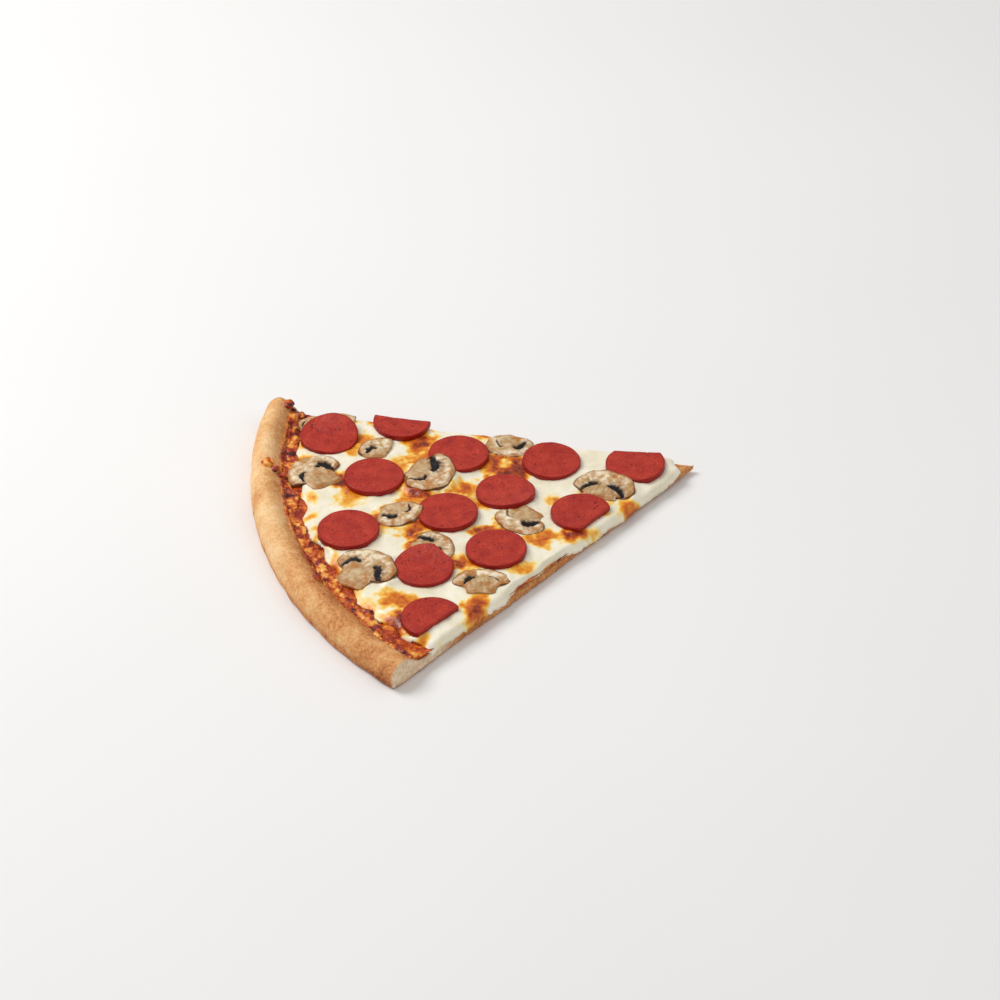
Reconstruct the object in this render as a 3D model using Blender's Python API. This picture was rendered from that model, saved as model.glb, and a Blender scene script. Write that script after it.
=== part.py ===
"""One slice of a thin pizza: a sixth of a 40 cm round, with sausage slices and sliced mushrooms.

The slice lies flat. Its tip points to +X, its rim is at -X, and the origin is on the table under the
middle of the slice. A place on the slice is given as the pizza maker sees it: how far it is from the
tip, and its bearing off the slice's centre line, positive towards +Y.
"""

import math

import bmesh
import bpy
from mathutils import Matrix, Vector
from mathutils.bvhtree import BVHTree

MM = 0.001

# The round that the slice was cut from.
RADIUS = 200 * MM
HALF_WEDGE = math.radians(30)
TIP_X = RADIUS / 2

# Dough: a thin base that thickens towards the rim.
TIP_DOUGH = 2.8 * MM
BASE_DOUGH = 5.4 * MM
RIM_WIDTH = 19 * MM
RIM_CREST = 12.8 * MM
CREST_SWELL = 0.9 * MM
BACK_END_RISE = 2.4 * MM
FRONT_END_DIP = 1.3 * MM
CREST_INSET = 7.5 * MM
RIM_WAIST = 5.0 * MM
RIM_TUCK = 3.5 * MM
TIP_CURL = 1.2 * MM
TIP_CURL_REACH = 45 * MM

# Sauce and cheese, laid on the dough with a hair of room between the layers.
LAYER_GAP = 0.3 * MM
SAUCE = 0.8 * MM
CHEESE = 2.3 * MM
BARE_TIP = 8 * MM
SAUCE_REACH = 184.5 * MM
CHEESE_REACH = 177 * MM
MARGIN_WAVE = 1.6 * MM
CHEESE_WAVE = 0.25 * MM

# Toppings.
SAUSAGE_RADIUS = 13.1 * MM
SAUSAGE_THICKNESS = 2.8 * MM
SAUSAGE_EDGE = 0.7 * MM
SAUSAGE_SIDES = 24
MUSHROOM_THICKNESS = 2.8 * MM
MUSHROOM_EDGE = 0.5 * MM
STEM_SHARE = 0.52
GILL_DEPTH = 1.2 * MM
REST_GAP = 0.3 * MM
MOST_LEAN = 14

# Directions of the two cut sides' outward normals, in degrees from +X.
BACK_CUT = 60
FRONT_CUT = -60

WEDGE_ROWS = 26

# Name: (reach mm, bearing, size, cuts), where a cut is (direction of the side cut away, how far from
# the middle the knife passed in mm).
SAUSAGES = {
    "sausage_01": (165.9, 23.6, 1.00, ()),
    "sausage_02": (134.8, 29.6, 1.00, ((BACK_CUT, 1.4),)),
    "sausage_03": (106.3, 19.0, 1.03, ()),
    "sausage_04": (144.8, 12.0, 1.01, ()),
    "sausage_05": (163.4, -1.2, 1.02, ()),
    "sausage_06": (118.6, -2.3, 1.01, ()),
    "sausage_07": (89.3, 1.2, 1.00, ()),
    "sausage_08": (64.6, 15.7, 1.00, ()),
    "sausage_09": (27.5, 6.1, 1.01, ((64, 8.2),)),
    "sausage_10": (66.9, -20.0, 1.01, ((FRONT_CUT, 7.7),)),
    "sausage_11": (112.6, -18.7, 1.00, ()),
    "sausage_12": (145.1, -15.2, 0.98, ((23, 11.4),)),
    "sausage_13": (163.8, -26.1, 0.98, ((-62, 3.6),)),
}

# Name: (reach mm, bearing, direction of the cap's dome, cap's half width mm, dome mm, lip mm, stem mm,
# cuts as above). The place is the middle of the gills. The dome is how far the cap reaches one way,
# the lip how far it curls back the other way, and a stem no longer than the lip doesn't show.
MUSHROOMS = {
    "mushroom_01": (177.3, 27.3, 100, 5.5, 5.0, 4.5, 4.5, ((BACK_CUT, 8.2),)),
    "mushroom_02": (163.0, 27.6, 60, 9.5, 8.5, 7.0, 7.0, ((BACK_CUT, 6.8), (-24, 6.8), (150, 6.0))),
    "mushroom_03": (171.0, 14.7, 106, 13.0, 12.0, 5.5, 12.5, ()),
    "mushroom_04": (121.4, 12.2, -53, 13.3, 12.3, 5.5, 8.5, ()),
    "mushroom_05": (141.0, 20.7, 80, 11.4, 8.3, 6.5, 6.5, ((-27, 3.0),)),
    "mushroom_06": (138.8, 0.7, -75, 10.6, 8.4, 7.0, 8.5, ()),
    "mushroom_07": (167.2, -10.7, 33, 14.6, 12.6, 5.5, 12.0, ()),
    "mushroom_08": (134.4, -10.5, 7, 11.0, 9.4, 5.0, 8.0, ()),
    "mushroom_09": (131.2, -24.3, 72, 12.0, 8.0, 4.5, 8.0, ((-66, 10.7),)),
    "mushroom_10": (91.4, -11.6, -146, 12.0, 9.0, 6.0, 9.5, ((-20, 10.4),)),
    "mushroom_11": (83.6, 24.7, -112, 11.0, 8.4, 9.0, 9.0, ((BACK_CUT, 7.4),)),
    "mushroom_12": (48.1, -10.7, 52, 14.0, 12.3, 5.0, 7.0, ()),
}

# Lower pieces first: each is dropped onto the cheese and the pieces laid before it.
LAYING_ORDER = (
    "mushroom_01 mushroom_02 mushroom_05 mushroom_08 mushroom_09 mushroom_10 mushroom_11 "
    "sausage_01 sausage_02 sausage_03 sausage_04 sausage_05 sausage_06 sausage_07 sausage_08 "
    "sausage_09 sausage_10 sausage_11 sausage_12 sausage_13 "
    "mushroom_03 mushroom_04 mushroom_06 mushroom_07 mushroom_12"
).split()


def on_slice(reach, bearing, z=0.0):
    """The point so far from the tip, at a bearing in radians, at a height."""
    return Vector((TIP_X - reach * math.cos(bearing), reach * math.sin(bearing), z))


def towards(degrees):
    """The level unit vector in a direction, in degrees from +X."""
    angle = math.radians(degrees)
    return Vector((math.cos(angle), math.sin(angle), 0))


def smoothstep(share):
    share = min(max(share, 0.0), 1.0)
    return share * share * (3 - 2 * share)


def lerp(start, end, share):
    return start + (end - start) * share


# ---------------------------------------------------------------- surfaces


def underside(reach):
    """The dough's lower face: flat, with the tip a little curled up."""
    return TIP_CURL * smoothstep(1 - reach / TIP_CURL_REACH)


def rim_crest(bearing):
    """The rim's height: hand-shaped, so it swells and dips, and its back end is the taller one."""
    share = bearing / HALF_WEDGE
    swell = math.sin(4.1 * share + 0.6) * 0.6 + math.sin(9.3 * share - 1.0) * 0.4
    rise = BACK_END_RISE * smoothstep((share - 0.3) / 0.6)
    dip = FRONT_END_DIP * smoothstep((-share - 0.6) / 0.4)
    return RIM_CREST + CREST_SWELL * swell + rise - dip


def dough_top(reach, bearing):
    """The upper face, from the tip to the rim's crest."""
    foot, crest = RADIUS - RIM_WIDTH, RADIUS - CREST_INSET
    plateau = lerp(TIP_DOUGH, BASE_DOUGH, min(reach / foot, 1.0)) + underside(reach)
    climb = smoothstep((reach - foot) / (crest - foot))
    return lerp(plateau, rim_crest(bearing), climb)


def sauce_top(reach, bearing):
    """The sauce thins out where it climbs the rim."""
    fade = smoothstep((SAUCE_REACH + MARGIN_WAVE - reach) / (8 * MM))
    return dough_top(reach, bearing) + LAYER_GAP + SAUCE * lerp(0.4, 1.0, fade)


def sauce_reach(bearing):
    return SAUCE_REACH + 0.6 * MARGIN_WAVE * math.sin(23 * bearing + 0.4)


def cheese_reach(bearing):
    """The melted cheese ends in lobes short of the rim."""
    return CHEESE_REACH + MARGIN_WAVE * (
        0.7 * math.sin(17 * bearing + 1.0) + 0.5 * math.sin(37 * bearing)
    )


def cheese_top(reach, bearing):
    """The melted cheese: level with gentle waves, rounded off at its outer margin."""
    point = on_slice(reach, bearing)
    wave = math.sin(point.x / (6.1 * MM) + 1.3) * math.sin(point.y / (7.3 * MM))
    inside = min(max((cheese_reach(bearing) - reach) / (5 * MM), 0.0), 1.0)
    body = CHEESE * math.sqrt(lerp(0.08, 1.0, inside * (2 - inside)))
    return sauce_top(reach, bearing) + LAYER_GAP + body + CHEESE_WAVE * wave * inside


# ---------------------------------------------------------------- making meshes


def material(name, colour, roughness):
    made = bpy.data.materials.new(name)
    made.use_nodes = True
    surface = made.node_tree.nodes["Principled BSDF"]
    surface.inputs["Base Color"].default_value = (*colour, 1)
    surface.inputs["Roughness"].default_value = roughness
    made.diffuse_color = (*colour, 1)
    return made


def add_object(name, mesh_builder, look):
    """Closes the bmesh's doubles, points its faces out and makes it an object."""
    bmesh.ops.remove_doubles(mesh_builder, verts=mesh_builder.verts, dist=0.005 * MM)
    bmesh.ops.recalc_face_normals(mesh_builder, faces=mesh_builder.faces)
    mesh = bpy.data.meshes.new(name)
    mesh_builder.to_mesh(mesh)
    mesh_builder.free()
    mesh.materials.append(look)
    made = bpy.data.objects.new(name, mesh)
    bpy.context.scene.collection.objects.link(made)
    return made


def loft(name, loops, look):
    """Skins a row of closed loops, with a flat cap on the first and on the last."""
    builder = bmesh.new()
    rings = [[builder.verts.new(point) for point in loop] for loop in loops]
    for ring, following in zip(rings, rings[1:]):
        for i in range(len(ring)):
            j = (i + 1) % len(ring)
            builder.faces.new((ring[i], ring[j], following[j], following[i]))
    builder.faces.new(rings[0])
    builder.faces.new(rings[-1])
    return add_object(name, builder, look)


def shade_round(made, angle=50):
    made.data.shade_smooth()
    made.data.set_sharp_from_angle(angle=math.radians(angle))


def bearings(rows):
    return [lerp(-HALF_WEDGE, HALF_WEDGE, i / rows) for i in range(rows + 1)]


# ---------------------------------------------------------------- dough, sauce, cheese


def dough_loop(bearing):
    """One cut through the dough: under it, round the rim's bulge and back over the top."""
    outer_foot, crest = RADIUS - RIM_TUCK, RADIUS - CREST_INSET
    height = rim_crest(bearing)
    under = [outer_foot * i / 6 for i in range(6)]
    loop = [on_slice(reach, bearing, underside(reach)) for reach in under]
    for i in range(4):
        turn = math.radians(30 * i - 90)
        reach = outer_foot + RIM_TUCK * math.cos(turn)
        loop.append(on_slice(reach, bearing, RIM_WAIST * (1 + math.sin(turn))))
    for i in range(1, 6):
        turn = math.radians(18 * i)
        reach = crest + CREST_INSET * math.cos(turn)
        loop.append(on_slice(reach, bearing, lerp(RIM_WAIST, height, math.sin(turn))))
    climb = [crest - (RIM_WIDTH - CREST_INSET) * i / 5 for i in range(1, 6)]
    level = [climb[-1] * i / 6 for i in range(5, -1, -1)]
    loop += [on_slice(reach, bearing, dough_top(reach, bearing)) for reach in climb + level]
    return loop


def make_dough(look):
    made = loft("dough", [dough_loop(bearing) for bearing in bearings(WEDGE_ROWS)], look)
    shade_round(made)
    return made


def layer_loop(bearing, outer, floor, top, steps, edge_steps=4, edge=10 * MM):
    """One cut through a layer, from the bare tip to its outer margin, on the one below it."""
    level = [lerp(BARE_TIP, outer - edge, i / steps) for i in range(steps + 1)]
    margin = [outer - edge * (1 - i / edge_steps) for i in range(1, edge_steps + 1)]
    reaches = level + margin
    below = [on_slice(reach, bearing, floor(reach, bearing) + LAYER_GAP) for reach in reaches]
    above = [on_slice(reach, bearing, top(reach, bearing)) for reach in reversed(reaches)]
    return below + above


def make_layer(name, reach_at, floor, top, rows, steps, look):
    loops = [
        layer_loop(bearing, reach_at(bearing), floor, top, steps) for bearing in bearings(rows)
    ]
    made = loft(name, loops, look)
    shade_round(made)
    return made


# ---------------------------------------------------------------- toppings


def knife(builder, direction, distance):
    """Cuts away what lies past a straight upright cut, and closes the cut face."""
    normal = towards(direction)
    found = builder.verts[:] + builder.edges[:] + builder.faces[:]
    cut = bmesh.ops.bisect_plane(
        builder, geom=found, plane_co=normal * distance, plane_no=normal, clear_outer=True
    )
    rim = [part for part in cut["geom_cut"] if isinstance(part, bmesh.types.BMEdge)]
    bmesh.ops.edgeloop_fill(builder, edges=rim)


def slab(outline, thickness, edge):
    """A flat slice of this outline, its two faces' edges rounded, its middle at the origin."""
    builder = bmesh.new()
    face = builder.faces.new(
        [builder.verts.new((point.x, point.y, -thickness / 2)) for point in outline]
    )
    grown = bmesh.ops.extrude_face_region(builder, geom=[face])["geom"]
    top = [part for part in grown if isinstance(part, bmesh.types.BMVert)]
    bmesh.ops.translate(builder, verts=top, vec=(0, 0, thickness))
    level = [e for e in builder.edges if abs(e.verts[0].co.z - e.verts[1].co.z) < edge / 2]
    bmesh.ops.recalc_face_normals(builder, faces=builder.faces)
    bmesh.ops.bevel(
        builder, geom=level, offset=edge, segments=1, affect="EDGES", clamp_overlap=True
    )
    return builder


def sausage_outline(radius):
    """A round, a touch out of true as a skinned sausage is."""
    turns = [math.tau * i / SAUSAGE_SIDES for i in range(SAUSAGE_SIDES)]
    return [
        Vector((math.cos(t), math.sin(t))) * radius * (1 + 0.012 * math.sin(2 * t + 0.7))
        for t in turns
    ]


def mushroom_outline(half_width, dome, lip, stem):
    """A slice of button mushroom: a domed cap that curls back round its gills, and a stem. The
    dome is at +Y, and the middle of the gills at the origin."""
    foot = STEM_SHARE * half_width
    steps = [math.radians(15 * i) for i in range(1, 7)]
    right = [Vector((half_width * math.sin(t), dome * math.cos(t))) for t in steps]
    right += [Vector((half_width * math.cos(t), -lip * math.sin(t))) for t in steps[:3]]
    if stem > lip:
        right += [
            Vector((foot * 1.05, -0.88 * lip)),
            Vector((foot, -lerp(lip, stem, 0.8))),
            Vector((0.7 * foot, -stem)),
        ]
    else:
        right += [Vector((half_width * math.cos(t), -lip * math.sin(t))) for t in steps[3:5]]
    left = [Vector((-point.x, point.y)) for point in reversed(right)]
    return [Vector((0, dome))] + right + left


def gill_cutters(name, half_width, dome):
    """Two curved pockets beside the stem, where the gills are, as cutters for a Boolean."""
    reach_in, reach_out = 0.38 * half_width, 0.76 * half_width
    builder = bmesh.new()
    for side in (-1, 1):
        lower, upper = [], []
        for i in range(5):
            share = i / 4
            x = side * lerp(reach_in, reach_out, share)
            swell = 0.15 * dome * math.sin(math.pi * lerp(0.15, 0.9, share))
            middle = 0.16 * dome * (1 - 1.3 * share * share)
            lower.append((x, middle - swell))
            upper.append((x, middle + swell))
        ring = lower + upper[::-1]
        deep = MUSHROOM_THICKNESS / 2 - GILL_DEPTH
        high = MUSHROOM_THICKNESS
        low_ring = [builder.verts.new((x, y, deep)) for x, y in ring]
        high_ring = [builder.verts.new((x, y, high)) for x, y in ring]
        builder.faces.new(low_ring)
        builder.faces.new(high_ring)
        for i in range(len(ring)):
            j = (i + 1) % len(ring)
            builder.faces.new((low_ring[i], low_ring[j], high_ring[j], high_ring[i]))
    cutter = add_object(name, builder, None)
    cutter.hide_render = True
    cutter.display_type = "WIRE"
    return cutter


def tilt(direction, degrees):
    """Lifts the edge that lies in a direction, a level vector."""
    axis = Vector((0, 0, 1)).cross(direction)
    return Matrix.Rotation(-math.radians(degrees), 4, axis)


def follow_cheese(reach, bearing):
    """Turns a flat piece to lie along the cheese's slope from the rim down to the tip."""
    step = 12 * MM
    nearer = cheese_top(reach - step, bearing)
    farther = cheese_top(min(reach + step, CHEESE_REACH - step / 2), bearing)
    slope = math.degrees(math.atan2(farther - nearer, 2 * step))
    return tilt(on_slice(1.0, bearing) - on_slice(0.0, bearing), slope)


def world_points(made):
    return [made.matrix_world @ vertex.co for vertex in made.data.vertices]


def height_over_cheese(point):
    """How high a point is over the cheese, the sauce or the rim below it."""
    from_tip = Vector((TIP_X - point.x, point.y))
    reach, bearing = from_tip.length, math.atan2(from_tip.y, from_tip.x)
    if reach > cheese_reach(bearing):
        return point.z - sauce_top(min(reach, RADIUS - CREST_INSET), bearing)
    return point.z - cheese_top(reach, bearing)


def gap_between(upper, lower):
    """The least upright distance between two pieces, or None where neither is over the other."""
    gaps = []
    for piece, other, way in ((upper, lower, -1), (lower, upper, 1)):
        tree = BVHTree.FromPolygons(
            world_points(other), [face.vertices[:] for face in other.data.polygons]
        )
        for point in world_points(piece):
            start = Vector((point.x, point.y, -way * 1.0))
            hit = tree.ray_cast(start, Vector((0, 0, way)))[0]
            if hit is not None:
                gaps.append(way * (hit.z - point.z))
    return min(gaps, default=None)


def drop(piece, laid):
    """Lowers a piece from above until it rests on the cheese or on a piece laid before it."""
    piece.location.z += 50 * MM
    bpy.context.view_layer.update()
    drops = [min(height_over_cheese(point) for point in world_points(piece))]
    drops += [gap for gap in (gap_between(piece, other) for other in laid) if gap is not None]
    piece.location.z -= min(drops) - REST_GAP
    bpy.context.view_layer.update()


def lay(piece, laid):
    """Lays a piece on the cheese. Where it overlaps others, it leans on them, at the angle
    that lets it lie lowest."""
    under = [other for other in laid if gap_between(piece, other) is not None]
    drop(piece, under)
    if not under:
        return
    middle = sum((other.location for other in under), Vector()) / len(under)
    uphill = (middle - piece.location).to_2d().normalized().to_3d()
    turned = piece.matrix_world.to_3x3().to_4x4()
    tries = []
    for degrees in range(MOST_LEAN + 1):
        place = Matrix.Translation(piece.matrix_world.translation)
        piece.matrix_world = place @ tilt(uphill, degrees) @ turned
        drop(piece, under)
        tries.append((piece.matrix_world.translation.z, piece.matrix_world.copy()))
    piece.matrix_world = min(tries, key=lambda entry: entry[0])[1]
    bpy.context.view_layer.update()


def make_sausage(name, look):
    reach, bearing, size, cuts = SAUSAGES[name]
    radius = SAUSAGE_RADIUS * size
    builder = slab(sausage_outline(radius), SAUSAGE_THICKNESS, SAUSAGE_EDGE)
    for direction, distance in cuts:
        knife(builder, direction, distance * MM)
    made = add_object(name, builder, look)
    place, turn = on_slice(reach * MM, math.radians(bearing)), math.radians(bearing)
    made.matrix_world = Matrix.Translation(place) @ follow_cheese(reach * MM, turn)
    shade_round(made, 40)
    return made


def make_mushroom(name, look):
    reach, bearing, dome_way, half_width, dome, lip, stem, cuts = MUSHROOMS[name]
    outline = mushroom_outline(half_width * MM, dome * MM, lip * MM, stem * MM)
    builder = slab(outline, MUSHROOM_THICKNESS, MUSHROOM_EDGE)
    turned = dome_way - 90
    for direction, distance in cuts:
        knife(builder, direction - turned, distance * MM)
    made = add_object(name, builder, look)
    cutter = gill_cutters(f"{name}_gills", half_width * MM, dome * MM)
    pocket = made.modifiers.new("gill pockets", "BOOLEAN")
    pocket.object = cutter
    pocket.operation = "DIFFERENCE"
    place, turn = on_slice(reach * MM, math.radians(bearing)), math.radians(bearing)
    spun = Matrix.Rotation(math.radians(turned), 4, "Z")
    made.matrix_world = Matrix.Translation(place) @ follow_cheese(reach * MM, turn) @ spun
    cutter.parent = made
    return made


def lay_toppings(sausage, mushroom):
    laid = []
    for name in LAYING_ORDER:
        if name in SAUSAGES:
            piece = make_sausage(name, sausage)
        else:
            piece = make_mushroom(name, mushroom)
        lay(piece, laid)
        laid.append(piece)


def main():
    for old in list(bpy.data.objects):
        bpy.data.objects.remove(old)
    baked = material("baked dough", (0.66, 0.36, 0.13), 0.6)
    tomato = material("baked tomato sauce", (0.34, 0.06, 0.02), 0.4)
    melted = material("melted cheese", (0.82, 0.72, 0.48), 0.35)
    sausage = material("smoked sausage", (0.50, 0.09, 0.07), 0.4)
    mushroom = material("baked mushroom", (0.62, 0.50, 0.33), 0.6)
    make_dough(baked)
    make_layer("sauce", sauce_reach, dough_top, sauce_top, 22, 5, tomato)
    make_layer("cheese", cheese_reach, sauce_top, cheese_top, 30, 13, melted)
    lay_toppings(sausage, mushroom)


main()
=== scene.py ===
"""The looks of one slice of sausage and mushroom pizza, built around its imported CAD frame.

Lengths are in metres, written as a number times MM. A place on the slice is given by its reach from the
tip and its bearing off the centre line, in degrees, positive towards the back side.
"""

import math
import random

import bmesh
import bpy
import numpy as np
from mathutils import Matrix, Vector, noise
from mathutils.bvhtree import BVHTree


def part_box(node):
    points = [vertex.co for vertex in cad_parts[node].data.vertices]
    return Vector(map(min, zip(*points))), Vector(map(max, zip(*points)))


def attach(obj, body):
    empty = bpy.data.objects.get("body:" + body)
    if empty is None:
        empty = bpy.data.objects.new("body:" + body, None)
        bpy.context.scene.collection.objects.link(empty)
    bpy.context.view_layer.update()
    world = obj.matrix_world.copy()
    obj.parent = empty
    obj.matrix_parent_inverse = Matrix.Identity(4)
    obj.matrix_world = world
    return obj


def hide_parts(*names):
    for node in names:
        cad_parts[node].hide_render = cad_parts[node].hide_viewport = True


MM = 0.001

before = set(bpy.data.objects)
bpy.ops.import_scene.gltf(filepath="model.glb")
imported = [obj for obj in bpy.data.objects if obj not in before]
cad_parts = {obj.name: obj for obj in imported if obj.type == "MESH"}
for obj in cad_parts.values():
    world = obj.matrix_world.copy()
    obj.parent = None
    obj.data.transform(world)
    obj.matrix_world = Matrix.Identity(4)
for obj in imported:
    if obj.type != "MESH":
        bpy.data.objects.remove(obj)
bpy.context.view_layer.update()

# The slice, from the frame: its tip points to +X and its rim is an arc about the tip.
TIP_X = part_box("dough")[1][0]
RADIUS = TIP_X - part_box("dough")[0][0]
HALF_WEDGE = math.radians(30)

# Sausage slices: reach and bearing of the middle in mm and degrees, size, and knife cuts as
# (direction of the side cut away, distance from the middle in mm).
SAUSAGE_RADIUS = 13.1 * MM
SAUSAGE_THICKNESS = 2.8 * MM
SAUSAGES = {
    "sausage_01": (165.9, 23.6, 1.00, ()),
    "sausage_02": (134.8, 29.6, 1.00, ((60, 1.4),)),
    "sausage_03": (106.3, 19.0, 1.03, ()),
    "sausage_04": (144.8, 12.0, 1.01, ()),
    "sausage_05": (163.4, -1.2, 1.02, ()),
    "sausage_06": (118.6, -2.3, 1.01, ()),
    "sausage_07": (89.3, 1.2, 1.00, ()),
    "sausage_08": (64.6, 15.7, 1.00, ()),
    "sausage_09": (27.5, 6.1, 1.01, ((64, 8.2),)),
    "sausage_10": (66.9, -20.0, 1.01, ((-60, 7.7),)),
    "sausage_11": (112.6, -18.7, 1.00, ()),
    "sausage_12": (145.1, -15.2, 0.98, ((23, 11.4),)),
    "sausage_13": (163.8, -26.1, 0.98, ((-62, 3.6),)),
}

# Mushroom slices: reach and bearing of the middle of the gills, direction of the cap's dome, the cap's
# half width, dome and lip and the stem in mm, and knife cuts. No stem shows that is as short as the lip.
MUSHROOM_THICKNESS = 2.8 * MM
STEM_SHARE = 0.52
MUSHROOMS = {
    "mushroom_01": (177.3, 27.3, 100, 5.5, 5.0, 4.5, 4.5, ((60, 8.2),)),
    "mushroom_02": (163.0, 27.6, 60, 9.5, 8.5, 7.0, 7.0, ((60, 6.8), (-24, 6.8), (150, 6.0))),
    "mushroom_03": (171.0, 14.7, 106, 13.0, 12.0, 5.5, 12.5, ()),
    "mushroom_04": (121.4, 12.2, -53, 13.3, 12.3, 5.5, 8.5, ()),
    "mushroom_05": (141.0, 20.7, 80, 11.4, 8.3, 6.5, 6.5, ((-27, 3.0),)),
    "mushroom_06": (138.8, 0.7, -75, 10.6, 8.4, 7.0, 8.5, ()),
    "mushroom_07": (167.2, -10.7, 33, 14.6, 12.6, 5.5, 12.0, ()),
    "mushroom_08": (134.4, -10.5, 7, 11.0, 9.4, 5.0, 8.0, ()),
    "mushroom_09": (131.2, -24.3, 72, 12.0, 8.0, 4.5, 8.0, ((-66, 10.7),)),
    "mushroom_10": (91.4, -11.6, -146, 12.0, 9.0, 6.0, 9.5, ((-20, 10.4),)),
    "mushroom_11": (83.6, 24.7, -112, 11.0, 8.4, 9.0, 9.0, ((60, 7.4),)),
    "mushroom_12": (48.1, -10.7, 52, 14.0, 12.3, 5.0, 7.0, ()),
}

# How full the gills are on the left and on the right of each slice, seen with its dome up.
GILLS = {
    "mushroom_01": (0.5, 0.0),
    "mushroom_02": (0.5, 0.3),
    "mushroom_03": (0.7, 1.25),
    "mushroom_04": (1.35, 0.45),
    "mushroom_05": (1.25, 0.0),
    "mushroom_06": (0.55, 1.1),
    "mushroom_07": (0.8, 1.1),
    "mushroom_08": (1.3, 0.7),
    "mushroom_09": (1.15, 0.3),
    "mushroom_10": (1.3, 0.3),
    "mushroom_11": (1.2, 0.3),
    "mushroom_12": (0.8, 1.0),
}

# Browned patches in the cheese: how many are tried beside each topping, how far from its middle, their
# half length and half width, all in mm, and how brown from 0 to 1.
BROWNED_SEED = 4
BROWNED_BESIDE = 2
BROWNED_AWAY = (14, 19)
BROWNED_LONG = (4, 10)
BROWNED_WIDE = (2.5, 5.5)
BROWNED_DEPTH = (0.45, 0.85)
PALE_TIP = 45 * MM

# How far the cheese runs out past the front cut side, and how far down its edge it hangs there, both in
# mm, at a row of reaches in mm.
FRONT_RUN = (
    (0, -1.0), (9, -0.2), (15, 1.0), (50, 1.3), (84, 0.9), (92, -0.4), (122, -0.6), (130, 0.9),
    (150, 1.0), (172, 0.3), (190, -0.6),
)
FRONT_HANG = (
    (0, 1.4), (10, 2.2), (16, 4.2), (84, 4.6), (92, 3.6), (122, 3.6), (132, 4.8), (165, 4.4),
    (180, 2.8),
)
BACK_HANG = 3.0

# Blobs of fried cheese run out onto the crust: reach, bearing and radius.
CRUST_BLOBS = (
    (191.5 * MM, 15.6, 3.2 * MM),
    (189.0 * MM, 14.8, 2.6 * MM),
    (186.5 * MM, 14.2, 2.2 * MM),
    (188.6 * MM, -9.7, 2.6 * MM),
    (186.0 * MM, -9.4, 2.0 * MM),
    (188.5 * MM, 29.6, 3.2 * MM),
    (185.5 * MM, 28.4, 3.2 * MM),
    (183.0 * MM, 29.4, 2.8 * MM),
    (183.5 * MM, 26.8, 2.6 * MM),
)

# Shapes of the layers.
CHEESE_MARGIN = 177 * MM
CHEESE_SPACING = 0.53 * MM
CHEESE_TIP = 9 * MM
OVERHANG = 1.2 * MM
RIM_LINE = 184.5 * MM
MOST_RISE = 1.7 * MM
SAUSAGE_SINK = 0.5 * MM

# Sausage slices that lie on a mushroom, and how much farther they press down into it.
PROPPED = ("sausage_01", "sausage_07", "sausage_08", "sausage_12")
PROPPED_SINK = 1.1 * MM
MUSHROOM_SINK = 0.8 * MM


# ---------------------------------------------------------------- small tools


def towards(degrees):
    angle = math.radians(degrees)
    return Vector((math.cos(angle), math.sin(angle), 0))


def on_slice(reach, bearing, z=0.0):
    """The point so far from the tip, at a bearing in degrees."""
    angle = math.radians(bearing)
    return Vector((TIP_X - reach * math.cos(angle), reach * math.sin(angle), z))


def polar(points):
    """Reach from the tip, and bearing in degrees, of rows of x, y, z."""
    x, y = TIP_X - points[:, 0], points[:, 1]
    return np.hypot(x, y), np.degrees(np.arctan2(y, x))


def smoothstep(low, high, value):
    share = np.clip((value - low) / (high - low), 0, 1)
    return share * share * (3 - 2 * share)


def rounding(distance, width):
    """A quarter round: 0 at an edge, rising to 1 at this width inside it."""
    share = np.clip(distance / width, 0, 1)
    return np.sqrt(1 - (1 - share) ** 2)


def stepped(table, reach):
    """Reads a table of (reach mm, value mm) at each reach."""
    places, values = zip(*table)
    return np.interp(reach / MM, places, values) * MM


def grain(points, size, seed=0):
    """Soft random relief from -1 to 1, whose lumps are about this size, at rows of x, y, z."""
    shift = Vector((17.3 * seed, 5.1 * seed, 9.7 * seed))
    return np.array([noise.noise(Vector(point) / size + shift) for point in points])


def rough_grain(points, size, seed=0, octaves=4):
    """Random relief with finer lumps on coarser ones."""
    total, share = np.zeros(len(points)), 1.0
    for octave in range(octaves):
        total += share * grain(points, size / 2**octave, seed + octave)
        share *= 0.55
    return total


def mesh_points(piece):
    flat = np.empty(len(piece.data.vertices) * 3)
    piece.data.vertices.foreach_get("co", flat)
    return flat.reshape(-1, 3)


def mesh_normals(piece):
    flat = np.empty(len(piece.data.vertices) * 3)
    piece.data.vertex_normals.foreach_get("vector", flat)
    return flat.reshape(-1, 3)


def move_points(piece, points):
    piece.data.vertices.foreach_set("co", np.asarray(points).ravel())
    piece.data.update()


def paint(piece, name, values):
    """Stores one number for each point of the mesh, for the material to read."""
    layer = piece.data.attributes.new(name, "FLOAT", "POINT")
    layer.data.foreach_set("value", np.asarray(values, dtype=np.float32))


def only(piece):
    """Selects this piece alone and makes it the active one."""
    bpy.ops.object.select_all(action="DESELECT")
    piece.select_set(True)
    bpy.context.view_layer.objects.active = piece


def apply_modifier(piece, kind, **settings):
    """Adds a modifier with these settings and applies it."""
    only(piece)
    made = piece.modifiers.new(kind.lower(), kind)
    for name, value in settings.items():
        setattr(made, name, value)
    bpy.ops.object.modifier_apply(modifier=made.name)


def remesh(piece, cell):
    apply_modifier(piece, "REMESH", mode="VOXEL", voxel_size=cell)


def soften(piece, times, factor=0.5):
    apply_modifier(piece, "SMOOTH", factor=factor, iterations=times)


def settle_in_place(piece):
    """Puts the piece's place and turn into its mesh."""
    only(piece)
    bpy.ops.object.transform_apply(location=True, rotation=True, scale=True)


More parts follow.
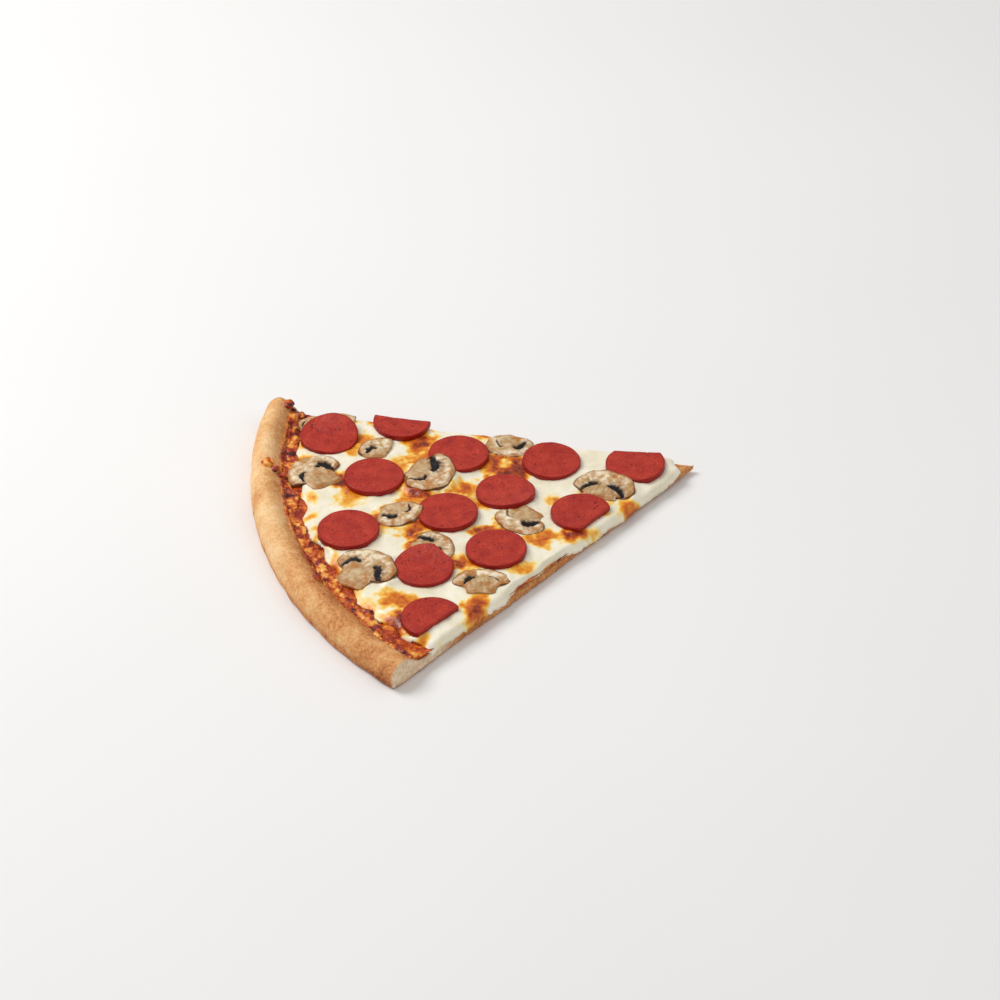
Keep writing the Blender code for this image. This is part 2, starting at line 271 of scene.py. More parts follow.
def finish_piece(piece, name, node, look):
    """Names the piece, gives it its look, and lets it stand for its CAD node."""
    piece.name = name
    piece.data.name = name
    piece.data.materials.clear()
    piece.data.materials.append(look)
    only(piece)
    bpy.ops.object.shade_smooth()
    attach(piece, "root")
    if node:
        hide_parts(node)


def copy_of_node(node):
    """A joined-up copy of a CAD node's mesh, as a piece of its own."""
    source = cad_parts[node]
    made = bpy.data.objects.new(f"{node}_copy", source.data.copy())
    bpy.context.scene.collection.objects.link(made)
    only(made)
    bpy.ops.object.mode_set(mode="EDIT")
    bpy.ops.mesh.select_all(action="SELECT")
    bpy.ops.mesh.remove_doubles(threshold=0.01 * MM)
    bpy.ops.object.mode_set(mode="OBJECT")
    return made


def tree_of(nodes):
    """One search tree over the meshes of several CAD nodes."""
    points, faces = [], []
    for node in nodes:
        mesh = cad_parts[node].data
        start = len(points)
        points += [vertex.co.copy() for vertex in mesh.vertices]
        faces += [[start + i for i in face.vertices] for face in mesh.polygons]
    return BVHTree.FromPolygons(points, faces)


def heights_on(tree, points, missing):
    """The height of a CAD node's top above or below each point, or else the missing value."""
    down, above = Vector((0, 0, -1)), 100 * MM
    found = np.full(len(points), missing)
    for i, point in enumerate(points):
        hit = tree.ray_cast(Vector((point[0], point[1], above)), down)[0]
        if hit is not None:
            found[i] = hit.z
    return found


def lie_of(node, reach, bearing):
    """How a topping lies: a matrix from its own flat frame to its place, read from the CAD node."""
    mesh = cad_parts[node].data
    normal, low = Vector(), []
    for face in mesh.polygons:
        if face.normal.z > 0.93:
            normal += face.normal * face.area
    normal.normalize()
    centre = on_slice(reach * MM, bearing)
    depths = [vertex.co.dot(normal) for vertex in mesh.vertices]
    middle = (min(depths) + max(depths)) / 2
    centre.z = (middle - centre.x * normal.x - centre.y * normal.y) / normal.z
    turn = Vector((0, 0, 1)).rotation_difference(normal).to_matrix().to_4x4()
    return Matrix.Translation(centre) @ turn


# ---------------------------------------------------------------- materials


def tone(red, green, blue):
    """A colour given as it looks on a screen, in 0 to 255, as the linear one that a shader takes."""
    linear = []
    for value in (red, green, blue):
        share = value / 255
        linear.append(share / 12.92 if share <= 0.04045 else ((share + 0.055) / 1.055) ** 2.4)
    return (*linear, 1.0)


class Look:
    """A material under construction: a Principled surface and the nodes that feed it."""

    def __init__(self, name, **values):
        self.material = bpy.data.materials.new(name)
        self.material.use_nodes = True
        self.nodes = self.material.node_tree.nodes
        self.links = self.material.node_tree.links
        self.surface = self.nodes["Principled BSDF"]
        for socket, value in values.items():
            self.surface.inputs[socket.replace("_", " ")].default_value = value
        self.place = self.nodes.new("ShaderNodeTexCoord").outputs["Object"]

    def feed(self, socket, value):
        """Links a node's output, or sets a plain value, on an input."""
        if isinstance(value, bpy.types.NodeSocket):
            self.links.new(value, socket)
        else:
            socket.default_value = value

    def noise(self, size, detail=3.0, roughness=0.55):
        """Soft random grain with lumps of about this size in metres, from 0 to 1."""
        made = self.nodes.new("ShaderNodeTexNoise")
        made.inputs["Scale"].default_value = 1 / size
        made.inputs["Detail"].default_value = detail
        made.inputs["Roughness"].default_value = roughness
        self.links.new(self.place, made.inputs["Vector"])
        return made.outputs["Fac"]

    def cells(self, size, randomness=1.0):
        """Distance to the nearest of scattered points about this far apart."""
        made = self.nodes.new("ShaderNodeTexVoronoi")
        made.inputs["Scale"].default_value = 1 / size
        made.inputs["Randomness"].default_value = randomness
        self.links.new(self.place, made.inputs["Vector"])
        return made.outputs["Distance"]

    def painted(self, name):
        made = self.nodes.new("ShaderNodeAttribute")
        made.attribute_name = name
        return made.outputs["Fac"]

    def ramp(self, value, *stops):
        """Turns a number into a colour or another number by stops of (position, colour or number)."""
        made = self.nodes.new("ShaderNodeValToRGB")
        elements = made.color_ramp.elements
        while len(elements) < len(stops):
            elements.new(0.5)
        for element, (position, colour) in zip(elements, stops):
            element.position = position
            element.color = colour if isinstance(colour, tuple) else (colour, colour, colour, 1)
        self.feed(made.inputs["Fac"], value)
        return made.outputs["Color"]

    def sum(self, operation, first, second, clamp=False):
        made = self.nodes.new("ShaderNodeMath")
        made.operation = operation
        made.use_clamp = clamp
        self.feed(made.inputs[0], first)
        self.feed(made.inputs[1], second)
        return made.outputs[0]

    def blend(self, share, first, second, kind="MIX"):
        made = self.nodes.new("ShaderNodeMix")
        made.data_type = "RGBA"
        made.blend_type = kind
        made.clamp_factor = True
        self.feed(made.inputs[0], share)
        self.feed(made.inputs[6], first)
        self.feed(made.inputs[7], second)
        return made.outputs[2]

    def bump(self, height, depth, strength=1.0, under=None):
        """Fine relief of this depth in metres."""
        made = self.nodes.new("ShaderNodeBump")
        made.inputs["Strength"].default_value = strength
        made.inputs["Distance"].default_value = depth
        self.feed(made.inputs["Height"], height)
        if under:
            self.links.new(under, made.inputs["Normal"])
        return made.outputs["Normal"]

    def done(self, colour, roughness=None, normal=None):
        self.feed(self.surface.inputs["Base Color"], colour)
        if roughness is not None:
            self.feed(self.surface.inputs["Roughness"], roughness)
        if normal is not None:
            self.feed(self.surface.inputs["Normal"], normal)
        return self.material


def baked_dough():
    """Golden crust with a fine floury grain, darker low on the outside, with painted light and shade
    along the rim, and crumb on the cut face.
    """
    look = Look("baked dough", Specular_IOR_Level=0.25, Subsurface_Weight=0.06)
    look.surface.inputs["Subsurface Scale"].default_value = 1.5 * MM
    toast_and_shading = look.sum("ADD", look.painted("toast_and_shading"), look.sum("MULTIPLY", look.noise(8 * MM), 0.40))
    grit = look.ramp(look.noise(1.3 * MM, 4, 0.75), (0.38, 0.0), (0.62, 1.0))
    toast_and_shading = look.sum("ADD", toast_and_shading, look.sum("MULTIPLY", grit, 0.30))
    toast_and_shading = look.sum("ADD", toast_and_shading, look.sum("MULTIPLY", look.noise(3.6 * MM, 3), 0.40))
    crust = look.ramp(
        look.sum("SUBTRACT", toast_and_shading, 0.50),
        (0.0, tone(244, 206, 154)),
        (0.30, tone(232, 182, 124)),
        (0.55, tone(216, 152, 92)),
        (0.78, tone(188, 116, 62)),
        (1.0, tone(152, 80, 36)),
    )
    pores = look.ramp(look.cells(1.2 * MM), (0.0, 0.0), (0.4, 1.0))
    crumb = look.blend(
        look.ramp(look.noise(1.8 * MM, 4, 0.65), (0.35, 0.0), (0.65, 1.0)),
        tone(244, 220, 190),
        tone(216, 184, 146),
    )
    crumb = look.blend(pores, tone(200, 164, 124), crumb)
    colour = look.blend(look.painted("crumb"), crust, crumb)
    colour = look.blend(look.painted("oven_floor"), colour, tone(150, 92, 48))
    fine = look.sum("ADD", look.noise(1.0 * MM, 4, 0.7), look.sum("MULTIPLY", look.noise(3 * MM), 0.7))
    normal = look.bump(fine, 0.40 * MM, 0.8)
    return look.done(colour, look.ramp(look.noise(5 * MM), (0.3, 0.6), (0.7, 0.8)), normal)


def melted_cheese():
    """Creamy white, going yellow, amber, orange and dark red-brown as the painted bake rises."""
    look = Look("melted cheese", Specular_IOR_Level=0.45, Subsurface_Weight=0.15)
    look.surface.inputs["Subsurface Scale"].default_value = 1.5 * MM
    look.surface.inputs["Subsurface Radius"].default_value = (1.0, 0.8, 0.5)
    curd = look.sum("SUBTRACT", look.noise(2.2 * MM, 4, 0.6), 0.5)
    veil = look.sum("SUBTRACT", look.noise(7 * MM, 3), 0.5)
    shade = look.sum("MULTIPLY", look.sum("ADD", curd, veil), look.painted("bake"))
    bake = look.sum("ADD", look.painted("bake"), look.sum("MULTIPLY", shade, 0.9), clamp=True)
    colour = look.ramp(
        bake,
        (0.0, tone(250, 241, 214)),
        (0.12, tone(250, 230, 172)),
        (0.27, tone(248, 198, 90)),
        (0.44, tone(232, 146, 24)),
        (0.62, tone(204, 98, 8)),
        (0.80, tone(156, 54, 8)),
        (1.0, tone(90, 26, 8)),
    )
    milk = look.blend(
        look.ramp(look.noise(9 * MM, 2), (0.35, 0.0), (0.65, 1.0)),
        tone(251, 243, 222),
        tone(238, 229, 200),
    )
    colour = look.blend(look.ramp(bake, (0.02, 0.0), (0.16, 1.0)), milk, colour)
    gloss = look.ramp(look.noise(4 * MM, 4), (0.3, 0.22), (0.7, 0.44))
    normal = look.bump(look.noise(2.6 * MM, 2), 0.16 * MM, 0.5)
    normal = look.bump(
        look.sum("MULTIPLY", look.noise(1.1 * MM, 2), look.painted("bake")), 0.5 * MM, 0.6, normal
    )
    return look.done(colour, gloss, normal)


def baked_sauce():
    """Tomato sauce and cheese fried together: amber, orange-brown and dark red, with an oily gloss."""
    look = Look("baked tomato sauce", Specular_IOR_Level=0.4, Coat_Weight=0.1, Coat_Roughness=0.2)
    scorch = look.sum("ADD", look.painted("scorch"), look.noise(1.8 * MM, 4, 0.6))
    colour = look.ramp(
        look.sum("SUBTRACT", scorch, 0.42),
        (0.0, tone(246, 190, 92)),
        (0.22, tone(230, 140, 38)),
        (0.42, tone(200, 86, 14)),
        (0.60, tone(158, 44, 10)),
        (0.82, tone(108, 22, 8)),
        (1.0, tone(60, 12, 6)),
    )
    gloss = look.ramp(look.noise(1.5 * MM), (0.35, 0.26), (0.7, 0.5))
    normal = look.bump(look.noise(0.8 * MM, 2), 0.25 * MM, 0.5)
    return look.done(colour, gloss, normal)


def smoked_sausage():
    """Red cut face with dark pits and pale specks, and a deeper red skin round the edge."""
    look = Look("smoked sausage", Specular_IOR_Level=0.25, Subsurface_Weight=0.0)
    look.surface.inputs["Subsurface Scale"].default_value = 1 * MM
    meat = look.blend(
        look.ramp(look.noise(6 * MM, 4), (0.35, 0.0), (0.65, 1.0)),
        tone(194, 60, 40),
        tone(168, 42, 32),
    )
    specks = look.ramp(look.cells(1.6 * MM), (0.0, 1.0), (0.2, 0.0))
    meat = look.blend(look.sum("MULTIPLY", specks, 0.5), meat, tone(232, 130, 104))
    fine = look.ramp(look.noise(0.9 * MM, 4, 0.7), (0.46, 0.0), (0.62, 1.0))
    meat = look.blend(look.sum("MULTIPLY", fine, 0.5), meat, tone(138, 20, 18))
    meat = look.blend(look.painted("pit"), meat, tone(80, 8, 8))
    colour = look.blend(look.painted("skin"), meat, tone(150, 20, 14))
    normal = look.bump(look.noise(0.8 * MM, 4, 0.7), 0.25 * MM, 0.6)
    gloss = look.ramp(look.noise(2 * MM, 3), (0.3, 0.26), (0.7, 0.5))
    return look.done(colour, gloss, normal)


def baked_mushroom():
    """Pale flesh with fibres, golden and brown sears, a thin brown skin and near-black gills."""
    look = Look("baked mushroom", Specular_IOR_Level=0.25, Subsurface_Weight=0.05)
    look.surface.inputs["Subsurface Scale"].default_value = 1 * MM
    flesh = look.blend(
        look.ramp(look.noise(3.4 * MM, 4, 0.6), (0.40, 0.0), (0.60, 1.0)),
        tone(244, 228, 198),
        tone(192, 152, 100),
    )
    stem = look.blend(
        look.ramp(look.noise(3 * MM, 3), (0.35, 0.0), (0.65, 1.0)),
        tone(212, 184, 142),
        tone(174, 134, 88),
    )
    colour = look.blend(look.painted("stem"), flesh, stem)
    strand = look.ramp(look.painted("fibre"), (0.5, 0.0), (0.8, 0.45))
    colour = look.blend(strand, colour, tone(158, 112, 66))
    patchy = look.ramp(look.noise(1.6 * MM, 4, 0.6), (0.32, 0.45), (0.56, 1.0))
    colour = look.blend(
        look.sum("MULTIPLY", look.painted("sear"), patchy), colour, tone(182, 114, 46)
    )
    colour = look.blend(look.painted("skin"), colour, tone(100, 54, 22))
    colour = look.blend(look.painted("halo"), colour, tone(112, 78, 46))
    colour = look.blend(look.painted("gill"), colour, tone(18, 10, 8))
    normal = look.bump(look.noise(0.9 * MM, 4), 0.2 * MM, 0.6)
    normal = look.bump(look.painted("fibre"), 0.3 * MM, 0.6, normal)
    return look.done(colour, look.ramp(look.noise(2 * MM), (0.3, 0.4), (0.7, 0.65)), normal)


# ---------------------------------------------------------------- dough


def make_dough(look):
    """The base and its rim: hand-shaped lumps, wavering knife cuts and an open crumb."""
    made = copy_of_node("dough")
    remesh(made, 0.8 * MM)
    soften(made, 5)
    points, normals = mesh_points(made), mesh_normals(made)
    reach, bearing = polar(points)
    lumps = 0.55 * grain(points, 22 * MM, 1) + 0.28 * grain(points, 8 * MM, 2)
    lumps += 0.12 * grain(points, 2.6 * MM, 3)
    rim = smoothstep(RADIUS - 20 * MM, RADIUS - 14 * MM, reach)
    upper = smoothstep(1.0 * MM, 4.0 * MM, points[:, 2])
    points = points + normals * (lumps * MM * rim * upper)[:, None]
    low_lip = np.exp(-(((points[:, 2] - 1.2 * MM) / (0.9 * MM)) ** 2))
    outward = np.stack([-np.cos(np.radians(bearing)), np.sin(np.radians(bearing))], axis=1)
    push = low_lip * (0.9 + 0.5 * grain(points, 9 * MM, 4)) * MM
    push *= smoothstep(RADIUS - 8 * MM, RADIUS - 4 * MM, reach)
    points[:, :2] += outward * push[:, None]
    points, back_crumb = waver_cut(points, 1)
    points, front_crumb = waver_cut(points, -1)
    crumb = np.maximum(back_crumb, front_crumb)
    bulge = smoothstep(174 * MM, 186 * MM, reach) * smoothstep(22, 30, bearing)
    bulge *= smoothstep(0, 5 * MM, points[:, 2])
    points += np.array(towards(60)) * (1.8 * MM * bulge)[:, None]
    move_points(made, points)
    reach, bearing = polar(points)
    height = points[:, 2]
    outside = smoothstep(RADIUS - 7 * MM, RADIUS - 2 * MM, reach)
    toast_and_shading = 0.34 + 0.30 * rough_grain(points, 16 * MM, 6, 3)
    toast_and_shading += 0.10 * smoothstep(RADIUS - 3 * MM, RADIUS - 11 * MM, reach)
    toast_and_shading += 0.30 * outside * smoothstep(6.5 * MM, 1.5 * MM, height)
    # Painted light and shade: the rim is made paler from its middle to its back end, which face the key
    # lamp, and darker at its front end, which is turned from it.
    toast_and_shading += 0.20 * smoothstep(-8, -24, bearing) - 0.11 * smoothstep(-10, 2, bearing)
    toast_and_shading += 0.20 * np.exp(-(((reach - RIM_LINE - 1 * MM) / (2.5 * MM)) ** 2))
    toast_and_shading = np.where(reach < RADIUS - 22 * MM, 0.34 + 0.45 * toast_and_shading, toast_and_shading)
    paint(made, "toast_and_shading", np.clip(toast_and_shading, 0, 1))
    crumb *= smoothstep(0.5 * MM, 1.4 * MM, height) * smoothstep(158 * MM, 172 * MM, reach)
    paint(made, "crumb", crumb)
    floor_share = 0.65 + 0.3 * grain(points, 5 * MM, 8)
    paint(made, "oven_floor", (1 - smoothstep(0.15 * MM, 0.8 * MM, height)) * floor_share)
    finish_piece(made, "dough_baked", "dough", look)


def waver_cut(points, side):
    """Lets one cut side waver as a hand-held cutter does, and roughens its crumb. Also gives how
    much each point lies on that cut face."""
    normal = np.array(towards(60 * side))
    depth = (points - np.array([TIP_X, 0, 0])) @ normal
    along = np.hypot(points[:, 0] - TIP_X, points[:, 1])
    on_cut = smoothstep(-0.9 * MM, -0.3 * MM, depth)
    near = smoothstep(-6 * MM, 0, depth)
    line = np.stack([along, np.full_like(along, side), np.zeros_like(along)], axis=1)
    waver = 0.7 * MM * grain(line, 30 * MM, 20) * smoothstep(0, 20 * MM, along)
    crumbly = 0.22 * MM * grain(points, 1.5 * MM, 21) + 0.25 * MM * grain(points, 3.5 * MM, 22)
    points = points + normal * (near * waver + on_cut * crumbly)[:, None]
    return points, on_cut


# ---------------------------------------------------------------- cheese and sauce


def wedge_sheet(name, spacing, inner, outer, overhang):
    """A fine flat grid cut to the wedge with a margin past its straight sides."""
    bpy.ops.object.select_all(action="DESELECT")
    span = 2 * RADIUS * math.sin(HALF_WEDGE) + 8 * MM
    steps = int(span / spacing)
    bpy.ops.mesh.primitive_grid_add(
        x_subdivisions=steps, y_subdivisions=steps, size=span, location=(0, 0, 0)
    )
    made = bpy.context.object
    made.name = name
    settle_in_place(made)
    bpy.ops.object.mode_set(mode="EDIT")
    for side in (1, -1):
        normal = towards(60 * side)
        bpy.ops.mesh.select_all(action="SELECT")
        bpy.ops.mesh.bisect(
            plane_co=Vector((TIP_X, 0, 0)) + normal * overhang, plane_no=normal, clear_outer=True
        )
    bpy.ops.mesh.select_all(action="DESELECT")
    bpy.ops.object.mode_set(mode="OBJECT")
    reach, bearing = polar(mesh_points(made))
    limit = outer(bearing)
    bm = bmesh.new()
    bm.from_mesh(made.data)
    bm.verts.ensure_lookup_table()
    waste = [bm.verts[i] for i in np.nonzero((reach > limit) | (reach < inner))[0]]
    bmesh.ops.delete(bm, geom=waste, context="VERTS")
    bm.to_mesh(made.data)
    bm.free()
    return made


def close_below(made, floor, tuck=1.6 * MM):
    """Turns a sheet into a solid: its border turns in under it, goes down, and is shut by a floor."""
    bm = bmesh.new()
    bm.from_mesh(made.data)
    middle = Vector((-20 * MM, 0, 0))
    for step in ("tuck", "down"):
        border = [edge for edge in bm.edges if edge.is_boundary]
        grown = bmesh.ops.extrude_edge_only(bm, edges=border)["geom"]
        for part in grown:
            if not isinstance(part, bmesh.types.BMVert):
                continue
            if step == "tuck":
                inward = (middle - part.co).to_2d().normalized().to_3d()
                part.co += inward * tuck - Vector((0, 0, 0.2 * MM))
            else:
                part.co.z = floor
    border = [edge for edge in bm.edges if edge.is_boundary]
    bmesh.ops.edgeloop_fill(bm, edges=border)
    bmesh.ops.recalc_face_normals(bm, faces=bm.faces)
    bm.to_mesh(made.data)
    bm.free()


def side_depths(points):
    """How far each point is inside each of the two straight cut sides."""
    offset = points - np.array([TIP_X, 0, 0])
    return -(offset @ np.array(towards(60))), -(offset @ np.array(towards(-60)))


def browned_patches():
    """Patches drawn at random round each topping, where the cheese is thin and bakes fastest: the
    middle, the direction of the length, the half length and half width, and how brown."""
    draw = random.Random(BROWNED_SEED)
    patches = []
    for name in (*SAUSAGES, *MUSHROOMS):
        low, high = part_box(name)
        middle = (Vector(low) + Vector(high)) / 2
        for _ in range(BROWNED_BESIDE):
            centre = middle + towards(draw.uniform(0, 360)) * draw.uniform(*BROWNED_AWAY) * MM
            ahead = towards(draw.uniform(0, 180))
            long, wide = draw.uniform(*BROWNED_LONG), draw.uniform(*BROWNED_WIDE)
            depth = draw.uniform(*BROWNED_DEPTH)
            if PALE_TIP < math.hypot(TIP_X - centre.x, centre.y) < CHEESE_MARGIN:
                patches.append((centre, ahead, long, wide, depth))
    return patches


def browning(points):
    """How brown the cheese is baked at each point, from 0 to 1."""
    bake = np.zeros(len(points))
    wander = np.stack([grain(points, 7 * MM, 31), grain(points, 7 * MM, 32)], axis=1)
    ragged = 0.45 * grain(points, 3.4 * MM, 33) + 0.3 * grain(points, 1.6 * MM, 35)
    moved = points[:, :2] + wander * 3.4 * MM
    for centre, ahead, long, wide, depth in browned_patches():
        dx, dy = moved[:, 0] - centre.x, moved[:, 1] - centre.y
        u = (dx * ahead.x + dy * ahead.y) / (long * MM)
        v = (-dx * ahead.y + dy * ahead.x) / (wide * MM)
        spot = 0.95 * depth * smoothstep(1.9, 0.3, np.hypot(u, v) + ragged)
        bake = np.maximum(bake, spot) + 0.25 * np.minimum(bake, spot)
    reach, bearing = polar(points)
    edge = smoothstep(8 * MM, 1 * MM, margin_of(bearing) - reach)
    bake = np.maximum(bake, edge * (0.14 + 0.9 * grain(points, 6 * MM, 34)))
    return np.clip(bake, 0, 1)


def margin_of(bearing):
    """The reach of the white cheese, in lobes short of the rim."""
    turn = np.radians(bearing)
    lobes = 0.7 * np.sin(17 * turn + 1.0) + 0.5 * np.sin(37 * turn) + 0.5 * np.sin(71 * turn + 2)
    return CHEESE_MARGIN + 1.6 * MM * lobes


def rise_round(points, height, topping):
    """Lets the cheese come up round a topping that lies in it, and stay under its lower face."""
    mesh = topping.data
    tree = BVHTree.FromPolygons(
        [vertex.co.copy() for vertex in mesh.vertices], [face.vertices[:] for face in mesh.polygons]
    )
    corners = mesh_points(topping)
    low, high = corners.min(axis=0) - 5 * MM, corners.max(axis=0) + 5 * MM
    near = np.all((points[:, :2] > low[:2]) & (points[:, :2] < high[:2]), axis=1)
    lower_face = fit_surface(corners[mesh_normals(topping)[:, 2] < -0.8])
    cap = np.full(len(points), 1.0)
    found = np.nonzero(near)[0]
    level = quadratic(points[found]) @ lower_face
    wave = 0.5 + 0.9 * grain(points[found], 5 * MM, 46)
    for i, bottom, lift in zip(found, level, wave):
        x, y = points[i, 0], points[i, 1]
        away = tree.find_nearest(Vector((x, y, bottom + 1.2 * MM)))[3]
        over = tree.ray_cast(Vector((x, y, -10 * MM)), Vector((0, 0, 1)))[0]
        if over is not None and away > 0.4 * MM:
            cap[i] = over.z - 0.3 * MM
            continue
        if over is not None:
            away = 0.0
        rise = min(max(bottom + lift * MM - height[i], 0.0), MOST_RISE)
        height[i] += rise * math.exp(-((away / (2.3 * MM)) ** 2))
    return cap


def quadratic(points):
    """The terms of a gently curved surface over x and y."""
    x, y = points[:, 0], points[:, 1]
    return np.stack([np.ones_like(x), x, y, x * x, x * y, y * y], axis=1)


def fit_surface(points, values=None):
    """The curved surface closest to these points, as weights for the terms."""
    values = points[:, 2] if values is None else values
    return np.linalg.lstsq(quadratic(points), values, rcond=None)[0]


def pulled_in(points, back, front, by):
    """The points moved in from the two cut sides, to where the CAD layers can be measured."""
    moved = points.copy()
    for side, depth in ((1, back), (-1, front)):
        short = np.maximum(by - depth, 0)
        moved -= np.array(towards(60 * side)) * short[:, None]
    return moved


def make_cheese(look, toppings):
    """The melted layer: pillowy, risen round the toppings, blistered where it is brown, and run
    down over the front side."""
    made = wedge_sheet(
        "cheese_sheet", CHEESE_SPACING, CHEESE_TIP, lambda b: margin_of(b) + 1.5 * MM, OVERHANG
    )
    points = mesh_points(made)
    reach, bearing = polar(points)
    back, front = side_depths(points)
    safe = pulled_in(points, back, front, 0.6 * MM)
    dough_height = heights_on(tree_of(["dough"]), safe, 4 * MM)
    height = heights_on(tree_of(["cheese"]), safe, 0.0)
    height = np.where(height < 1 * MM, dough_height + 2.2 * MM, height)
    bake = browning(points)
    pillows = 0.45 * grain(points, 15 * MM, 41) + 0.50 * grain(points, 7 * MM, 42)
    pillows += 0.08 * grain(points, 2.5 * MM, 43)
    blisters = 0.8 * np.maximum(grain(points, 3.6 * MM, 44), -0.2) + 0.3 * grain(points, 1.5 * MM, 45)
    height += (pillows + bake * blisters) * MM
    cap = np.full(len(points), 1.0)
    for topping in toppings:
        cap = np.minimum(cap, rise_round(points, height, topping))
    height = np.minimum(height, cap)
    along = np.stack([reach, np.zeros_like(reach), np.zeros_like(reach)], axis=1)
    for side, depth in ((1, back), (-1, front)):
        lobes = 0.9 * grain(along, 8 * MM, 48 + side) + 0.5 * grain(along, 3 * MM, 58 + side)
        if side < 0:
            run = stepped(FRONT_RUN, reach) + lobes * MM
            hang = stepped(FRONT_HANG, reach)
        else:
            run = (lobes - 0.4) * MM
            hang = np.full_like(reach, BACK_HANG * MM)
        weight = smoothstep(4.5 * MM, -OVERHANG, depth)
        points += np.array(towards(60 * side)) * ((run - OVERHANG) * weight)[:, None]
        height -= hang * (1 - rounding(depth + OVERHANG, 3.2 * MM))
    height -= 2.6 * MM * (1 - rounding(reach - CHEESE_TIP, 4 * MM))
    height -= 2.0 * MM * (1 - rounding(margin_of(bearing) + 1.5 * MM - reach, 4 * MM))
    points[:, 2] = np.maximum(height, 1.8 * MM)
    move_points(made, points)
    paint(made, "bake", bake)
    close_below(made, 1.6 * MM)
    finish_piece(made, "cheese_melted", "cheese", look)


def make_sauce(look):
    """The tomato layer, thin under the cheese and lumpy where it shows along the rim."""
    made = wedge_sheet(
        "sauce_sheet", 0.8 * MM, 12 * MM, lambda b: np.full_like(b, 187.5 * MM), -0.2 * MM
    )
    points = mesh_points(made)
    reach, bearing = polar(points)
    back, front = side_depths(points)
    safe = pulled_in(points, back, front, 0.6 * MM)
    height = heights_on(tree_of(["sauce"]), safe, 0.0)
    rim_top = heights_on(tree_of(["dough"]), safe, 4 * MM)
    height = np.where(height < 1 * MM, rim_top - 0.4 * MM, height)
    shown = smoothstep(172 * MM, 178 * MM, reach) * smoothstep(188 * MM, 184 * MM, reach)
    lumps = 0.5 * grain(points, 4.5 * MM, 51) + 0.3 * grain(points, 2.2 * MM, 52)
    points[:, 2] = height + shown * (0.3 + lumps) * MM
    move_points(made, points)
    scorch = 0.34 + 0.35 * rough_grain(points, 7 * MM, 53, 3) + 0.1 * shown
    paint(made, "scorch", np.clip(scorch, 0, 1))
    close_below(made, 2.0 * MM)
    finish_piece(made, "sauce_baked", "sauce", look)


def rim_line(bearing):
    """The reach of the fried line of cheese and sauce along the rim's foot."""
    turn = math.radians(bearing)
    wave = math.sin(11 * turn + 0.5) + 0.6 * math.sin(29 * turn + 1.1)
    ends = 2.6 * (abs(bearing) / 30) ** 3
    return RIM_LINE + (0.8 * wave + ends) * MM


def thickness_at(bearing):
    """How wide the fried line is here, from 0 to 1."""
    return min(max(0.5 + 1.1 * noise.noise(Vector((bearing / 3.2, 3.7, 0))), 0.0), 1.0)


def make_fried_rim(look):
    """Bubbles of cheese and sauce fried into a knobbly line along the rim, melted together."""
    rng = random.Random(11)
    tree = tree_of(["dough"])
    beads = []
    for i in range(110):
        bearing = -29.6 + 59.4 * (i + rng.uniform(0, 1)) / 110
        thick = thickness_at(bearing)
        for share in (0.1, 0.5, 0.9):
            inward = share * (0.6 + 5.2 * thick) + rng.uniform(-0.4, 0.4)
            size = rng.uniform(1.0, 1.7) * (0.7 + 0.5 * thick)
            beads.append((rim_line(bearing) - inward * MM, bearing, size * MM))
    for _ in range(150):
        bearing = rng.uniform(-29.6, 29.8)
        thick = thickness_at(bearing)
        inward = rng.uniform(0, 0.8 + 5 * thick)
        size = rng.uniform(1.2, 2.2) * (0.6 + 0.5 * thick)
        beads.append((rim_line(bearing) - inward * MM, bearing, size * MM))
    beads += CRUST_BLOBS
    bm = bmesh.new()
    for reach, bearing, size in beads:
        spot = on_slice(reach, bearing)
        hit = tree.ray_cast(spot + Vector((0, 0, 0.1)), Vector((0, 0, -1)))[0]
        if hit is None:
            continue
        hit.z = max(hit.z, 7.1 * MM)
        squash = Matrix.Diagonal((1, 1, 0.5, 1))
        place = Matrix.Translation(hit + Vector((0, 0, 0.1 * size))) @ squash
        bmesh.ops.create_icosphere(bm, subdivisions=2, radius=size, matrix=place)
    mesh = bpy.data.meshes.new("fried_rim")
    bm.to_mesh(mesh)
    bm.free()
    made = bpy.data.objects.new("fried_rim", mesh)
    bpy.context.scene.collection.objects.link(made)
    remesh(made, 0.36 * MM)
    soften(made, 7, 0.6)
    points = mesh_points(made)
    normals = mesh_normals(made)
    relief = 0.5 * grain(points, 2.6 * MM, 61) + 0.3 * grain(points, 1.3 * MM, 64)
    points = points + normals * (relief * MM)[:, None]
    move_points(made, points)
    scorch = 0.34 + 0.8 * grain(points, 5 * MM, 62) + 0.5 * grain(points, 1.8 * MM, 63)
    paint(made, "scorch", np.clip(scorch, 0, 1))
    finish_piece(made, "fried_rim", None, look)


# ---------------------------------------------------------------- toppings


def cut_away(piece, direction, distance):
    """Cuts the piece with an upright knife and closes the cut."""
    only(piece)
    normal = towards(direction)
    bpy.ops.object.mode_set(mode="EDIT")
    bpy.ops.mesh.select_all(action="SELECT")
    bpy.ops.mesh.bisect(
        plane_co=normal * distance, plane_no=normal, clear_outer=True, use_fill=True
    )
    bpy.ops.object.mode_set(mode="OBJECT")


def sink_in(made, node, depth):
    """Lets a soft slice sag over what lies under it and settle this deep into the cheese."""
    others = tree_of([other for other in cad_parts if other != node])
    points, normals = mesh_points(made), mesh_normals(made)
    lower = points[normals[:, 2] < -0.8][::7]
    kept, clear = [], []
    for point in lower:
        start = Vector(point) + Vector((0, 0, 1 * MM))
        hit = others.ray_cast(start, Vector((0, 0, -1)))[0]
        if hit is not None:
            kept.append(point)
            clear.append(point[2] - hit.z)
    sag = quadratic(points) @ fit_surface(np.array(kept), np.array(clear))
    points[:, 2] -= 0.6 * np.clip(sag, 0, 4 * MM) + depth
    move_points(made, points)


